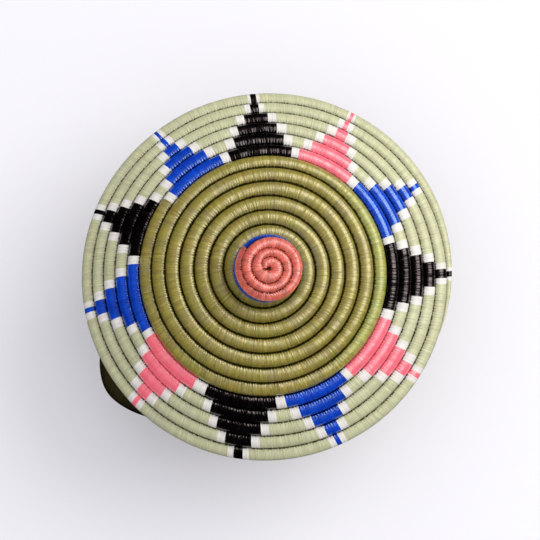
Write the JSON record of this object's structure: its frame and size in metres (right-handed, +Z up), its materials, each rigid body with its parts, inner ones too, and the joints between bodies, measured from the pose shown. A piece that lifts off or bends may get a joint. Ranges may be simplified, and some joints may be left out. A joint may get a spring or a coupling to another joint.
{
  "type": "lidded handle basket",
  "caption": "Round coiled raffia basket with ear handles and a lift-off domed lid with a knob and a stepped-triangle border.",
  "frame": {"origin": "on the surface that the basket stands on, under the middle of its outline seen from above", "axes": "+Z up, along the way the lid lifts; the two handles stick out along +X and -X"},
  "size_m": [0.3298, 0.3084, 0.2221],
  "materials": {
    "olive_raffia": "satin olive raffia strip wrapped over a grass core",
    "sage_raffia": "satin pale sage raffia strip wrapped over a grass core",
    "pink_raffia": "satin coral pink raffia strip wrapped over a grass core",
    "blue_raffia": "satin cobalt blue raffia strip wrapped over a grass core"
  },
  "bodies": {
    "basket": {"base_coil": "olive_raffia", "wall_coil": "olive_raffia", "rim_coil": "olive_raffia", "right_handle": "olive_raffia", "right_handle_binding_1": "olive_raffia", "right_handle_binding_2": "olive_raffia", "left_handle": "olive_raffia", "left_handle_binding_1": "olive_raffia", "left_handle_binding_2": "olive_raffia"},
    "lid": {"lid_centre_coil": "olive_raffia", "lid_border_coil": "sage_raffia", "lid_locating_ring": "olive_raffia", "knob_top_coil": "pink_raffia", "knob_side_coil": "blue_raffia"}
  },
  "joints": [
    {"name": "lid_lift", "type": "slide", "parent": "basket", "child": "lid", "axis": [0, 0, 1], "range_m": [0, 0.15]}
  ]
}
